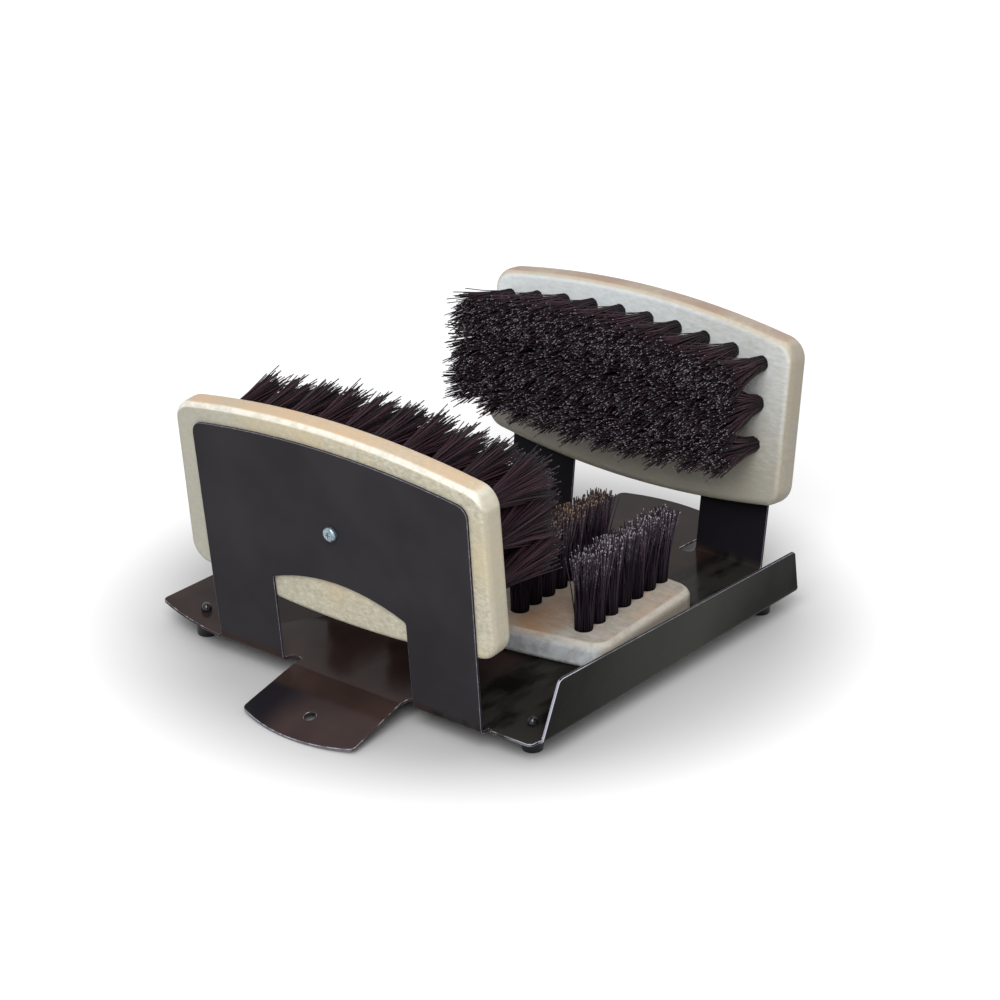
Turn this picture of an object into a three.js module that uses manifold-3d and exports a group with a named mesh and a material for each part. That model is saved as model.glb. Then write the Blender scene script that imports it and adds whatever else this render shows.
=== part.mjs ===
// Boot brush with scraper. One formed steel sheet is the frame: a plate on four rubber feet, two
// uprights that lean outwards on two legs each, two tongues left between the legs, and a scraper
// lip along the front. Three wooden brushes are screwed to it, two facing each other on the
// uprights and one lying on the plate, so a boot is pulled between them.
// Millimetres, +Z up, the lip towards -Y. The origin is the middle of the floor that it takes up.

import * as THREE from "three";
import { mergeVertices } from "three/addons/utils/BufferGeometryUtils.js";
import Module from "manifold-3d";

const wasm = await Module();
wasm.setup();

const degrees = THREE.MathUtils.degToRad;

// Sheet steel
const sheet = 1.5;
const bendInside = 1.5; // inside radius of the uprights' and the lip's bends
const bendOverlap = 1; // how far a bend runs into the flat that it joins
const seatGap = 0.3; // between pieces that touch

// Plate, measured from the middle between the uprights
const plateFront = 121.5; // to the outside of the lip
const plateRear = 148.1;
const plateRearWidth = 226;
const plateRearCorner = 5;
const plateSideBow = 2;
const plateShoulderWidth = 245.4; // beside the front feet
const plateFrontCorner = 12.5;
const bendRelief = 2; // cut beside each leg so that the sheet bends cleanly
const bendReliefDepth = 3;

// Uprights
const uprightSpacing = 254.2; // outside, at the underside of the plate
const uprightLean = degrees(6.2);
const panelFootWidth = 180.6;
const panelShoulderWidth = 185;
const panelShoulderHeight = 131.3; // along the lean
const panelCrown = 7.3;
const panelCorner = 7;
const archFootWidth = 90.2;
const archSpringWidth = 90.8;
const archSpringHeight = 52;
const archRise = 9.1;
const archCorner = 2;

// Tongues
const tongueWidth = 74.6;
const tongueTipWidth = 77;
const tongueLength = 40.5;
const tongueCrown = 8;
const tongueCorner = 4;
const tongueHoleReach = 30; // from the root to the middle of the hole
const tongueHoleRadius = 3.3;
const tongueBendRadius = 5;
const leftTongueDroop = degrees(14.8);
const rightTongueDroop = degrees(1.5);
const tongueRelief = 5.5; // depth of the cuts between tongue and legs

// Scraper lip
const lipWidth = 232.2;
const lipLeftHeight = 34.6;
const lipRightHeight = 28.8;
const lipLean = degrees(6.5);
const lipEndSlant = 8.7;
const lipCorner = 3.5;

// Rubber feet
const footHeight = 12.7;
const footTopRadius = 6.4;
const footBottomRadius = 5.6;
const footEdge = 0.8;
const footNeckRadius = 2.2;
const footHoleRadius = 2.5;
const footBulbRadius = 3;
const footBulbHeight = 4.4;
const footBulbShares = [[1, 0], [1, 0.25], [0.87, 0.62], [0.5, 0.9], [0, 1]]; // of radius and height
const frontFootSideInset = 18.9; // from the plate's edges to the middle of a foot
const frontFootLipInset = 16.3;
const rearFootSideInset = 4.2;
const rearFootRearInset = 29.5;

// Brush blocks, three alike
const blockLength = 209;
const blockThickness = 15;
const blockEndWidth = 93.4;
const blockCrown = 9.8;
const blockCorner = 10.3;
const blockEdge = 3;
const sideBlockHeight = 92.4; // middle of a side block, along the lean
const leftBlockShift = 2; // towards the rear
const rightBlockShift = -2.6;
const baseBlockAcross = 4.2; // middle of the block, from the middle of the plate
const baseBlockAlong = 7.4;
const baseBlockSwivel = degrees(3.65);

// Screws
const screwHeadRadius = 4.2;
const screwHeadHeight = 2.6;
const screwHeadShares = [[0, 1], [0.5, 1], [0.87, 0.75], [1, 0.33], [1, 0]]; // of radius and height
const screwRadius = 2.1;
const screwRootRadius = 1.5;
const screwLength = 12.5;
const screwPoint = 2.4;
const screwPitch = 1.5;
const screwHoleClearance = 0.4;
const screwHeight = 91.2; // along the lean of an upright
const recessLength = 4.4;
const recessWidth = 1;
const recessDepth = 1.4;

// Bristles
const sliceDepth = 2;
const sliceMargin = 3.4;
const strandSink = 1;
const strandRootRadius = 1.2;
const strandTipRadius = 0.8;
const tuftRootSpread = 2.6;
const sideBristleLength = 50;
const sideTuftColumns = 10;
const sideTuftInset = 16.3; // from the block's ends to the end tufts
const sideTuftShift = -3.7; // middle of the rows, from the middle of the block
const sideRowShares = [-0.3, 0.21, 0.71]; // of the block's end half, at the ends of the rows
const sideRowCrowns = [-4.1, 1.8, 8];
const sideSweep = 6; // of the tips along the block
const sideTipSpread = 8; // along the block
const sideRowSpreads = [9, 11.5, 9]; // of the rows' tips, across the block
const baseBristleLength = 43.5;
const baseBristleSlope = 1.2; // how much longer they are at the left edge than in the middle
const baseTuftsPerRow = 7;
const baseTuftInset = 9.2;
const baseTuftShift = 4.6; // middle of a row, from the middle of the block
const baseRows = 5;
const baseRowInset = 22.1;
const baseTipSpreadAcross = 3.6;
const baseTipSpreadAlong = 6;
const baseEndFlare = 3;
const bristleRagged = 3; // how much the tips differ in height

const overrun = 5; // how far a cut runs past what it cuts
const arcSteps = 12;
const cornerSteps = 4;
const roundSteps = 16; // sides of a turned piece
const strandSides = 3;

const UP = new THREE.Vector3(0, 0, 1);
const AXIS = new THREE.Vector3(0, 1, 0); // of a cylinder as it is made

// Solids

function solidOf(geometry) {
  const plain = geometry.clone();
  plain.deleteAttribute("normal");
  plain.deleteAttribute("uv");
  const merged = mergeVertices(plain, 1e-4);
  return new wasm.Manifold(
    new wasm.Mesh({
      numProp: 3,
      vertProperties: merged.attributes.position.array,
      triVerts: new Uint32Array(merged.index.array),
    }),
  );
}

function geometryOf(solid) {
  const mesh = solid.getMesh();
  const geometry = new THREE.BufferGeometry();
  geometry.setAttribute("position", new THREE.BufferAttribute(mesh.vertProperties, mesh.numProp));
  geometry.setIndex(new THREE.BufferAttribute(mesh.triVerts, 1));
  geometry.computeVertexNormals();
  return geometry;
}

function extrude(shape, depth, options = {}) {
  return new THREE.ExtrudeGeometry(shape, { depth, bevelEnabled: false, ...options });
}

// A closed outline through corners [x, y, radius], where a missing radius leaves the corner sharp.
function outline(corners) {
  const points = [];
  corners.forEach(([x, y, radius = 0], i) => {
    const here = new THREE.Vector2(x, y);
    if (radius <= 0) {
      points.push(here);
      return;
    }
    const [bx, by] = corners[(i + corners.length - 1) % corners.length];
    const [ax, ay] = corners[(i + 1) % corners.length];
    const back = new THREE.Vector2(bx, by).sub(here);
    const ahead = new THREE.Vector2(ax, ay).sub(here);
    const half = back.angleTo(ahead) / 2;
    const reach = Math.min(radius / Math.tan(half), back.length() / 2, ahead.length() / 2);
    const start = here.clone().addScaledVector(back.normalize(), reach);
    const end = here.clone().addScaledVector(ahead.normalize(), reach);
    for (let k = 0; k <= cornerSteps; k++) {
      const t = k / cornerSteps;
      const weight = 2 * t * (1 - t) * Math.sin(half);
      const total = (1 - t) ** 2 + weight + t ** 2;
      points.push(
        start
          .clone()
          .multiplyScalar((1 - t) ** 2 / total)
          .addScaledVector(here, weight / total)
          .addScaledVector(end, t ** 2 / total),
      );
    }
  });
  return new THREE.Shape(points);
}

// Points between the ends of a circular arc that stands `rise` above a chord along +x.
function crownBetween(halfChord, height, rise, steps = arcSteps) {
  const radius = (halfChord ** 2 + rise ** 2) / (2 * rise);
  const points = [];
  for (let k = 1; k < steps; k++) {
    const x = halfChord * (1 - (2 * k) / steps);
    points.push([x, height + Math.sqrt(radius ** 2 - x ** 2) - radius + rise]);
  }
  return points;
}

function circle(x, y, radius) {
  return new THREE.Path().absarc(x, y, radius, 0, 2 * Math.PI, false);
}

function withHoles(shape, ...holes) {
  shape.holes.push(...holes);
  return shape;
}

// Sheet bends

// The frame of a wall that rises from `foot`: x along it, y up its slope, z out of its outer face.
function wallFrame(outward, lean, foot) {
  const rise = outward.clone().multiplyScalar(Math.sin(lean)).addScaledVector(UP, Math.cos(lean));
  const normal = outward.clone().multiplyScalar(Math.cos(lean)).addScaledVector(UP, -Math.sin(lean));
  const along = rise.clone().cross(normal);
  return new THREE.Matrix4().makeBasis(along, rise, normal).setPosition(foot);
}

// The distance from a bend's start to where the flats' outer faces would meet.
function setback(turn) {
  return (bendInside + sheet) * Math.tan(turn / 2);
}

// The section of a sheet that comes in along +x on y = 0 to sheet, and turns up, or down if turn < 0.
function bendSection(turn, inside) {
  const up = Math.sign(turn);
  const centre = new THREE.Vector2(0, up > 0 ? sheet + inside : -inside);
  const low = [new THREE.Vector2(-bendOverlap, up > 0 ? 0 : sheet)];
  const high = [new THREE.Vector2(-bendOverlap, up > 0 ? sheet : 0)];
  const leaving = new THREE.Vector2(Math.cos(turn), Math.sin(turn)).multiplyScalar(bendOverlap);
  for (let k = 0; k <= cornerSteps; k++) {
    const angle = (Math.abs(turn) * k) / cornerSteps;
    const spoke = new THREE.Vector2(Math.sin(angle), -up * Math.cos(angle));
    low.push(centre.clone().addScaledVector(spoke, inside + sheet));
    high.push(centre.clone().addScaledVector(spoke, inside));
  }
  low.push(low.at(-1).clone().add(leaving));
  high.push(high.at(-1).clone().add(leaving));
  return new THREE.Shape([...low, ...high.reverse()]);
}

// A bend along a wall: `start` is where it begins on the plate's underside, from and to lie along it.
function bendSolid(outward, start, turn, inside, from, to) {
  const across = outward.clone().cross(UP);
  const origin = start.clone().addScaledVector(across, -to);
  const place = new THREE.Matrix4().makeBasis(outward, UP, across).setPosition(origin);
  return solidOf(extrude(bendSection(turn, inside), to - from).applyMatrix4(place));
}

// Frame

const uprightTurn = Math.PI / 2 - uprightLean;
const lipTurn = Math.PI / 2 - lipLean;
const legBendStart = uprightSpacing / 2 - setback(uprightTurn);
const lipBendStart = plateFront - setback(lipTurn);
const panelFoot = panelFootWidth / 2;
const archFoot = archFootWidth / 2;

function footPlaces() {
  const frontX = plateShoulderWidth / 2 - frontFootSideInset;
  const frontY = frontFootLipInset - plateFront;
  const rearX = plateRearWidth / 2 - rearFootSideInset;
  const rearY = plateRear - rearFootRearInset;
  return [
    { name: "front_left_foot", x: -frontX, y: frontY },
    { name: "front_right_foot", x: frontX, y: frontY },
    { name: "rear_left_foot", x: -rearX, y: rearY },
    { name: "rear_right_foot", x: rearX, y: rearY },
  ];
}

// Half of the plate's edge, from the lip to the rear edge, on the side given by +1 or -1.
function plateEdge(side) {
  const shoulder = plateShoulderWidth / 2;
  const rear = plateRearWidth / 2;
  const cutEnd = legBendStart - bendReliefDepth;
  const slitEnd = uprightSpacing / 2 - sheet - tongueRelief;
  const root = uprightSpacing / 2;
  const rearStart = panelFoot + bendRelief;
  const bow = [];
  for (let k = 1; k < arcSteps / 2; k++) {
    const t = k / (arcSteps / 2);
    const straight = root + (rear - root) * t;
    bow.push([straight + 4 * plateSideBow * t * (1 - t), rearStart + (plateRear - rearStart) * t]);
  }
  const right = [
    [lipWidth / 2, -lipBendStart],
    [shoulder, -lipBendStart, plateFrontCorner],
    [shoulder, -panelFoot - bendRelief],
    [cutEnd, -panelFoot - bendRelief],
    [cutEnd, -panelFoot],
    [legBendStart, -panelFoot],
    [legBendStart, -archFoot],
    [slitEnd, -archFoot, bendRelief],
    [slitEnd, -tongueWidth / 2, bendRelief],
    [root, -tongueWidth / 2],
    [root, tongueWidth / 2],
    [slitEnd, tongueWidth / 2, bendRelief],
    [slitEnd, archFoot, bendRelief],
    [legBendStart, archFoot],
    [legBendStart, panelFoot],
    [cutEnd, panelFoot],
    [cutEnd, rearStart],
    [root, rearStart],
    ...bow,
    [rear, plateRear, plateRearCorner],
  ];
  const edge = right.map(([x, y, radius]) => [side * x, y, radius]);
  return side > 0 ? edge : edge.reverse();
}

function plateSolid() {
  const feet = footPlaces().map(({ x, y }) => circle(x, y, footHoleRadius));
  const screw = circle(baseBlockAcross, baseBlockAlong, screwRadius + screwHoleClearance);
  const shape = outline([...plateEdge(1), ...plateEdge(-1)]);
  return solidOf(extrude(withHoles(shape, ...feet, screw), sheet, { curveSegments: arcSteps }));
}

function uprightSolids(side) {
  const outward = new THREE.Vector3(side, 0, 0);
  const foot = new THREE.Vector3((side * uprightSpacing) / 2, 0, 0);
  const start = setback(uprightTurn);
  const spring = archSpringWidth / 2;
  const shoulder = panelShoulderWidth / 2;
  const arch = crownBetween(spring, archSpringHeight, archRise).reverse();
  const panel = outline([
    [-panelFoot, start],
    [-archFoot, start],
    [-spring, archSpringHeight, archCorner],
    ...arch,
    [spring, archSpringHeight, archCorner],
    [archFoot, start],
    [panelFoot, start],
    [shoulder, panelShoulderHeight, panelCorner],
    ...crownBetween(shoulder, panelShoulderHeight, panelCrown),
    [-shoulder, panelShoulderHeight, panelCorner],
  ]);
  const hole = circle(0, screwHeight, screwRadius + screwHoleClearance);
  const wall = extrude(withHoles(panel, hole), sheet, { curveSegments: arcSteps });
  wall.translate(0, 0, -sheet).applyMatrix4(wallFrame(outward, uprightLean, foot));
  const bendStart = new THREE.Vector3(side * legBendStart, 0, 0);
  return [
    solidOf(wall),
    bendSolid(outward, bendStart, uprightTurn, bendInside, archFoot, panelFoot),
    bendSolid(outward, bendStart, uprightTurn, bendInside, -panelFoot, -archFoot),
  ];
}

function tongueSolids(side, droop) {
  const outward = new THREE.Vector3(side, 0, 0);
  const root = new THREE.Vector3((side * uprightSpacing) / 2, 0, 0);
  const half = tongueWidth / 2;
  const tip = tongueTipWidth / 2;
  const curl = (tongueBendRadius + sheet) * Math.tan(droop / 2);
  const flat = outline([
    [-half, curl],
    [half, curl],
    [tip, tongueLength, tongueCorner],
    ...crownBetween(tip, tongueLength, tongueCrown),
    [-tip, tongueLength, tongueCorner],
  ]);
  const hole = circle(0, tongueHoleReach, tongueHoleRadius);
  const blade = extrude(withHoles(flat, hole), sheet, { curveSegments: arcSteps });
  // The blade's top face hangs from the line where it would meet the plate's top face.
  const foot = root.clone().addScaledVector(outward, curl).addScaledVector(UP, sheet);
  blade.applyMatrix4(wallFrame(outward, Math.PI / 2 + droop, foot));
  return [solidOf(blade), bendSolid(outward, root, -droop, tongueBendRadius, -half, half)];
}

function lipSolids() {
  const outward = new THREE.Vector3(0, -1, 0);
  const foot = new THREE.Vector3(0, -plateFront, 0);
  const start = setback(lipTurn);
  const half = lipWidth / 2;
  const top = half - lipEndSlant;
  const face = outline([
    [-half, start],
    [half, start],
    [top, lipRightHeight / Math.cos(lipLean), lipCorner],
    [-top, lipLeftHeight / Math.cos(lipLean), lipCorner],
  ]);
  const wall = extrude(face, sheet).translate(0, 0, -sheet);
  wall.applyMatrix4(wallFrame(outward, lipLean, foot));
  const bendStart = new THREE.Vector3(0, -lipBendStart, 0);
  return [solidOf(wall), bendSolid(outward, bendStart, lipTurn, bendInside, -half, half)];
}

function frameGeometry() {
  const sheets = [
    plateSolid(),
    ...uprightSolids(1),
    ...uprightSolids(-1),
    ...tongueSolids(1, rightTongueDroop),
    ...tongueSolids(-1, leftTongueDroop),
    ...lipSolids(),
  ];
  return geometryOf(wasm.Manifold.union(sheets));
}

// Turned pieces

// A turned solid about +Z from a profile of [radius, height] that runs up from axis to axis.
function turned(profile, segments) {
  const points = profile.map(([radius, height]) => new THREE.Vector2(radius, height));
  return new THREE.LatheGeometry(points, segments).rotateX(Math.PI / 2);
}

// A push-in foot: a tapered pad under the plate, a neck through it and a bulb that snaps above it.
function footGeometry() {
  const under = footHeight - seatGap;
  const above = footHeight + sheet + seatGap;
  const profile = [
    [0, 0],
    [footBottomRadius - footEdge, 0],
    [footBottomRadius, footEdge],
    [footTopRadius, under - footEdge],
    [footTopRadius - footEdge, under],
    [footNeckRadius, under],
    [footNeckRadius, above],
    ...footBulbShares.map(([r, h]) => [r * footBulbRadius, above + h * footBulbHeight]),
  ];
  return turned(profile, roundSteps);
}

// A pan-head screw in the frame of the block that it holds: the block's back lies at z = 0.
function screwGeometry() {
  const seat = -seatGap - sheet - seatGap;
  const crown = seat - screwHeadHeight;
  const end = seat + screwLength;
  const threadEnd = end - screwPoint;
  const profile = screwHeadShares.map(([r, h]) => [r * screwHeadRadius, seat - h * screwHeadHeight]);
  profile.push([screwRootRadius, seat]);
  for (let z = screwPitch; z + screwPitch / 2 < threadEnd; z += screwPitch) {
    profile.push([screwRootRadius, z - screwPitch / 2]);
    profile.push([screwRadius, z]);
  }
  profile.push([screwRootRadius, threadEnd], [0, end]);
  const slot = new THREE.BoxGeometry(recessLength, recessWidth, recessDepth * 2).translate(0, 0, crown);
  const cross = slot.clone().rotateZ(Math.PI / 2);
  const body = solidOf(turned(profile, roundSteps));
  return geometryOf(body.subtract(solidOf(slot)).subtract(solidOf(cross)));
}

// Brushes, in a frame with x along the block, y across it, z out of its bristle face, its back at z = 0

// The block's outline, drawn in by a margin all round.
function barrel(margin) {
  const half = blockLength / 2 - margin;
  const end = blockEndWidth / 2 - margin;
  const crown = crownBetween(half, end, blockCrown);
  return outline([
    [half, -end, blockCorner],
    [half, end, blockCorner],
    ...crown,
    [-half, end, blockCorner],
    [-half, -end, blockCorner],
    ...crown.map(([x, y]) => [-x, -y]),
  ]);
}

// The thin top layer of the block that the strands stand in, grown by a clearance where it is cut.
function sliceGeometry(grown) {
  const depth = sliceDepth + grown;
  const slice = extrude(barrel(sliceMargin - grown), grown > 0 ? depth + overrun : depth);
  return slice.translate(0, 0, blockThickness - depth);
}

// The block, rounded all round, with a pocket for the slice and a pilot hole from the back.
function blockGeometry(screwPlace) {
  const rounded = extrude(barrel(0), blockThickness - 2 * blockEdge, {
    bevelEnabled: true,
    bevelThickness: blockEdge,
    bevelSize: blockEdge,
    bevelOffset: -blockEdge,
    bevelSegments: 2,
  }).translate(0, 0, blockEdge);
  const depth = screwLength - sheet - seatGap;
  const radius = screwRadius + seatGap;
  const bore = new THREE.CylinderGeometry(radius, radius, depth + overrun, arcSteps);
  bore.rotateX(Math.PI / 2).translate(screwPlace.x, screwPlace.y, (depth - overrun) / 2);
  const block = solidOf(rounded).subtract(solidOf(sliceGeometry(seatGap)));
  return geometryOf(block.subtract(solidOf(bore)));
}

function strand(root, tip) {
  const along = tip.clone().sub(root);
  const length = along.length();
  const shaft = new THREE.CylinderGeometry(strandTipRadius, strandRootRadius, length, strandSides);
  const turn = new THREE.Quaternion().setFromUnitVectors(AXIS, along.normalize());
  return shaft.translate(0, length / 2, 0).applyQuaternion(turn).translate(...root.toArray());
}

// Seeded numbers from 0 to 1
function randomFrom(seed) {
  let state = seed;
  return () => {
    state = (Math.imul(state, 1664525) + 1013904223) >>> 0;
    return state / 2 ** 32;
  };
}

// Each tuft is a few stout strands that open like a fan. Tips keep the order of the roots, and
// the fans stay inside half the pitch, so no strand crosses another.
function bristleGeometry(tufts, seed) {
  const random = randomFrom(seed);
  const pieces = [solidOf(sliceGeometry(0))];
  for (const tuft of tufts) {
    for (const [fx, fy] of tuft.fan) {
      const root = new THREE.Vector3(
        tuft.x + fx * tuftRootSpread,
        tuft.y + fy * tuftRootSpread,
        blockThickness - strandSink,
      );
      const tip = new THREE.Vector3(
        tuft.x + tuft.flareX + fx * tuft.spreadX,
        tuft.y + tuft.flareY + fy * tuft.spreadY,
        blockThickness + tuft.length + (random() - 0.5) * bristleRagged,
      );
      pieces.push(solidOf(strand(root, tip)));
    }
  }
  return geometryOf(wasm.Manifold.union(pieces));
}

const fanOfFive = [[0, 0], [1, 0.35], [-0.35, 1], [-1, -0.35], [0.35, -1]];
const fanOfFour = [[0.9, 0.4], [-0.4, 0.9], [-0.9, -0.4], [0.4, -0.9]];

function sideTufts() {
  const half = blockLength / 2 - sideTuftInset;
  const tufts = [];
  sideRowShares.forEach((rowShare, row) => {
    for (let column = 0; column < sideTuftColumns; column++) {
      const share = (2 * column) / (sideTuftColumns - 1) - 1;
      tufts.push({
        x: sideTuftShift + share * half,
        y: (rowShare * blockEndWidth) / 2 + sideRowCrowns[row] * (1 - share ** 2),
        flareX: sideSweep,
        flareY: 0,
        spreadX: sideTipSpread,
        spreadY: sideRowSpreads[row],
        length: sideBristleLength,
        fan: fanOfFive,
      });
    }
  });
  return tufts;
}

function baseTufts() {
  const halfLong = blockLength / 2 - baseRowInset;
  const halfWide = blockEndWidth / 2 - baseTuftInset;
  const tufts = [];
  for (let row = 0; row < baseRows; row++) {
    for (let place = 0; place < baseTuftsPerRow; place++) {
      const share = (2 * place) / (baseTuftsPerRow - 1) - 1;
      tufts.push({
        x: ((2 * row) / (baseRows - 1) - 1) * halfLong,
        y: share * halfWide - baseTuftShift,
        flareX: 0,
        flareY: share * baseEndFlare,
        spreadX: baseTipSpreadAlong,
        spreadY: baseTipSpreadAcross,
        length: baseBristleLength + share * baseBristleSlope,
        fan: fanOfFour,
      });
    }
  }
  return tufts;
}

// Materials

const steel = new THREE.MeshStandardMaterial({ color: 0x2b2526, roughness: 0.28, metalness: 0.35 });
const wood = new THREE.MeshStandardMaterial({ color: 0xcfc7ab, roughness: 0.6, metalness: 0 });
const baseWood = new THREE.MeshStandardMaterial({ color: 0xb7ab9b, roughness: 0.7, metalness: 0 });
const fibre = new THREE.MeshStandardMaterial({ color: 0x2a1a20, roughness: 0.55, metalness: 0 });
const zinc = new THREE.MeshStandardMaterial({ color: 0xb9c4c6, roughness: 0.35, metalness: 0.9 });
const rubber = new THREE.MeshStandardMaterial({ color: 0x14161a, roughness: 0.4, metalness: 0 });

// Assembly

function named(name, geometry, material) {
  const mesh = new THREE.Mesh(geometry, material);
  mesh.name = name;
  return mesh;
}

function brush({ name, tufts, material, seed, screwPlace }) {
  const group = new THREE.Group();
  const screw = named(name + "_brush_screw", screwGeometry(), zinc);
  screw.position.set(screwPlace.x, screwPlace.y, 0);
  group.add(
    named(name + "_brush_block", blockGeometry(screwPlace), material),
    named(name + "_brush_bristles", bristleGeometry(tufts, seed), fibre),
    screw,
  );
  return group;
}

// In the assembly the plate's underside lies at z = 0, midway between the uprights.
const assembly = new THREE.Group();
assembly.add(named("frame", frameGeometry(), steel));

for (const side of [1, -1]) {
  const wall = new THREE.Group();
  const foot = new THREE.Vector3((side * uprightSpacing) / 2, 0, 0);
  wall.applyMatrix4(wallFrame(new THREE.Vector3(side, 0, 0), uprightLean, foot));
  const shift = side > 0 ? rightBlockShift : leftBlockShift;
  const sideBrush = brush({
    name: side > 0 ? "right" : "left",
    tufts: sideTufts(),
    material: wood,
    seed: 7 + side,
    screwPlace: new THREE.Vector2(side * shift, screwHeight - sideBlockHeight),
  });
  sideBrush.rotation.y = Math.PI;
  sideBrush.position.set(side * shift, sideBlockHeight, -sheet - seatGap);
  wall.add(sideBrush);
  assembly.add(wall);
}

const baseBrush = brush({
  name: "base",
  tufts: baseTufts(),
  material: baseWood,
  seed: 21,
  screwPlace: new THREE.Vector2(),
});
baseBrush.rotation.z = Math.PI / 2 + baseBlockSwivel;
baseBrush.position.set(baseBlockAcross, baseBlockAlong, sheet + seatGap);
assembly.add(baseBrush);

for (const { name, x, y } of footPlaces()) {
  const foot = named(name, footGeometry(), rubber);
  foot.position.set(x, y, -footHeight);
  assembly.add(foot);
}

// The feet come down to the floor, and the whole is centred over the origin.
const centre = new THREE.Box3().setFromObject(assembly, true).getCenter(new THREE.Vector3());
assembly.position.set(-centre.x, -centre.y, footHeight);

const bootBrush = new THREE.Group();
bootBrush.add(assembly);

export default bootBrush;
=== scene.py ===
import math
import random

import bmesh
import bpy
from mathutils import Matrix, Vector


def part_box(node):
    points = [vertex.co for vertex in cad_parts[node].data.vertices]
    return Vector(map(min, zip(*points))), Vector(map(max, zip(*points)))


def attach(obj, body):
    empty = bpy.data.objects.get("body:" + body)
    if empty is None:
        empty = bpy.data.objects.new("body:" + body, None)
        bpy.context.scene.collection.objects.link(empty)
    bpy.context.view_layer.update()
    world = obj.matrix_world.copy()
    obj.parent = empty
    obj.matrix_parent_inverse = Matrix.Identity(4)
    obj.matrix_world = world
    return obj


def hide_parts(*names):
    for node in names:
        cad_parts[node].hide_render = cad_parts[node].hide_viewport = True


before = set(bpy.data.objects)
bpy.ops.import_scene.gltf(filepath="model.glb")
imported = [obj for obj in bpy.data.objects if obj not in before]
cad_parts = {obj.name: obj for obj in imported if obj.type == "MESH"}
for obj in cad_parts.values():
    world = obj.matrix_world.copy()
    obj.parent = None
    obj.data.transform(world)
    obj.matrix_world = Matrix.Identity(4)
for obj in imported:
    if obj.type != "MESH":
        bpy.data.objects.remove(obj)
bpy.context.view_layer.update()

# The frame: one sheet of 1.5 mm steel, cut, bent and stove enamelled dark brown. The uprights, the
# tongues and the scraper lip are all turned out of the plate. The enamel is worn thin on the cut
# edges, so each edge is rounded here and has a finish of its own, with a painted highlight on it.

mm = 0.001
edge_round = 0.3 * mm


def lone(piece):
    """Selects one piece and nothing else."""
    bpy.ops.object.select_all(action="DESELECT")
    piece.select_set(True)
    bpy.context.view_layer.objects.active = piece


def finished_with(piece, kind, **settings):
    """Adds a modifier with its settings and applies it."""
    modifier = piece.modifiers.new(kind, kind)
    for name, value in settings.items():
        setattr(modifier, name, value)
    lone(piece)
    bpy.ops.object.modifier_apply(modifier=modifier.name)


def dressed(piece, *materials):
    """Gives a piece its materials, in place of any that it has."""
    piece.data.materials.clear()
    for material in materials:
        piece.data.materials.append(material)


def copied(piece, name):
    """A copy of a piece, with a mesh of its own."""
    twin = piece.copy()
    twin.data = piece.data.copy()
    twin.name = twin.data.name = name
    twin.parent = None
    bpy.context.scene.collection.objects.link(twin)
    return twin


# The copy is a piece of its own, so it doesn't keep the labels of the node that it comes from.
steel_frame = copied(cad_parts["frame"], "steel_frame")
for label in list(steel_frame.keys()):
    del steel_frame[label]
lone(steel_frame)
bpy.ops.object.mode_set(mode="EDIT")
bpy.ops.mesh.select_all(action="SELECT")
bpy.ops.mesh.remove_doubles(threshold=0.02 * mm)
bpy.ops.mesh.dissolve_limited(angle_limit=math.radians(1))
bpy.ops.object.mode_set(mode="OBJECT")


class Link:
    """A socket in a material, which sums and products can be written with."""

    def __init__(self, tree, socket):
        self.tree = tree
        self.socket = socket

    def node(self, kind, settings=None, sockets=None, output=0):
        """Adds a node: its settings first, then the values or links of its sockets."""
        made = self.tree.nodes.new(kind)
        for name, value in (settings or {}).items():
            setattr(made, name, value)
        for name, value in (sockets or {}).items():
            join(self.tree, value, made.inputs[name])
        return Link(self.tree, made.outputs[output])

    def math(self, operation, *values):
        """A sum on numbers, which needn't be this socket's."""
        return self.node("ShaderNodeMath", {"operation": operation}, dict(enumerate(values)))

    def __add__(self, other):
        return self.math("ADD", self, other)

    def __radd__(self, other):
        return self.math("ADD", other, self)

    def __sub__(self, other):
        return self.math("SUBTRACT", self, other)

    def __rsub__(self, other):
        return self.math("SUBTRACT", other, self)

    def __mul__(self, other):
        return self.math("MULTIPLY", self, other)

    def __rmul__(self, other):
        return self.math("MULTIPLY", other, self)

    def larger(self, other):
        return self.math("MAXIMUM", self, other)

    def root(self):
        return self.math("SQRT", self)

    def step(self, low, high):
        """Rises smoothly from 0 at low to 1 at high, and falls where low is the greater."""
        settings = {"interpolation_type": "SMOOTHSTEP"}
        if low < high:
            return self.node("ShaderNodeMapRange", settings, {0: self, 1: low, 2: high})
        sockets = {0: self, 1: high, 2: low, 3: 1, 4: 0}
        return self.node("ShaderNodeMapRange", settings, sockets)

    def tint(self, low, high):
        """The colour low where this is 0 and high where it is 1."""
        return self.node("ShaderNodeMix", {"data_type": "RGBA"}, {0: self, 6: low, 7: high}, output=2)

    def parts(self):
        """The x, y and z of a place."""
        split = self.node("ShaderNodeSeparateXYZ", None, {0: self}).socket.node
        return [Link(self.tree, socket) for socket in split.outputs]

    def facing(self):
        """The x, y and z of the direction that the surface looks in."""
        return self.node("ShaderNodeNewGeometry", output="Normal").parts()

    def stretched(self, scale, turn=(0, 0, 0)):
        """The same places, scaled and turned, so that a pattern on them is drawn out."""
        sockets = {"Vector": self, "Rotation": turn, "Scale": scale}
        return self.node("ShaderNodeMapping", None, sockets)

    def noise(self, scale, detail=2, roughness=0.5):
        sockets = {"Vector": self, "Scale": scale, "Detail": detail, "Roughness": roughness}
        return self.node("ShaderNodeTexNoise", None, sockets)

    def relief(self, height, strength):
        """A bump of this height that follows the pattern."""
        sockets = {"Height": self, "Distance": height, "Strength": strength}
        return self.node("ShaderNodeBump", None, sockets)


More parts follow.
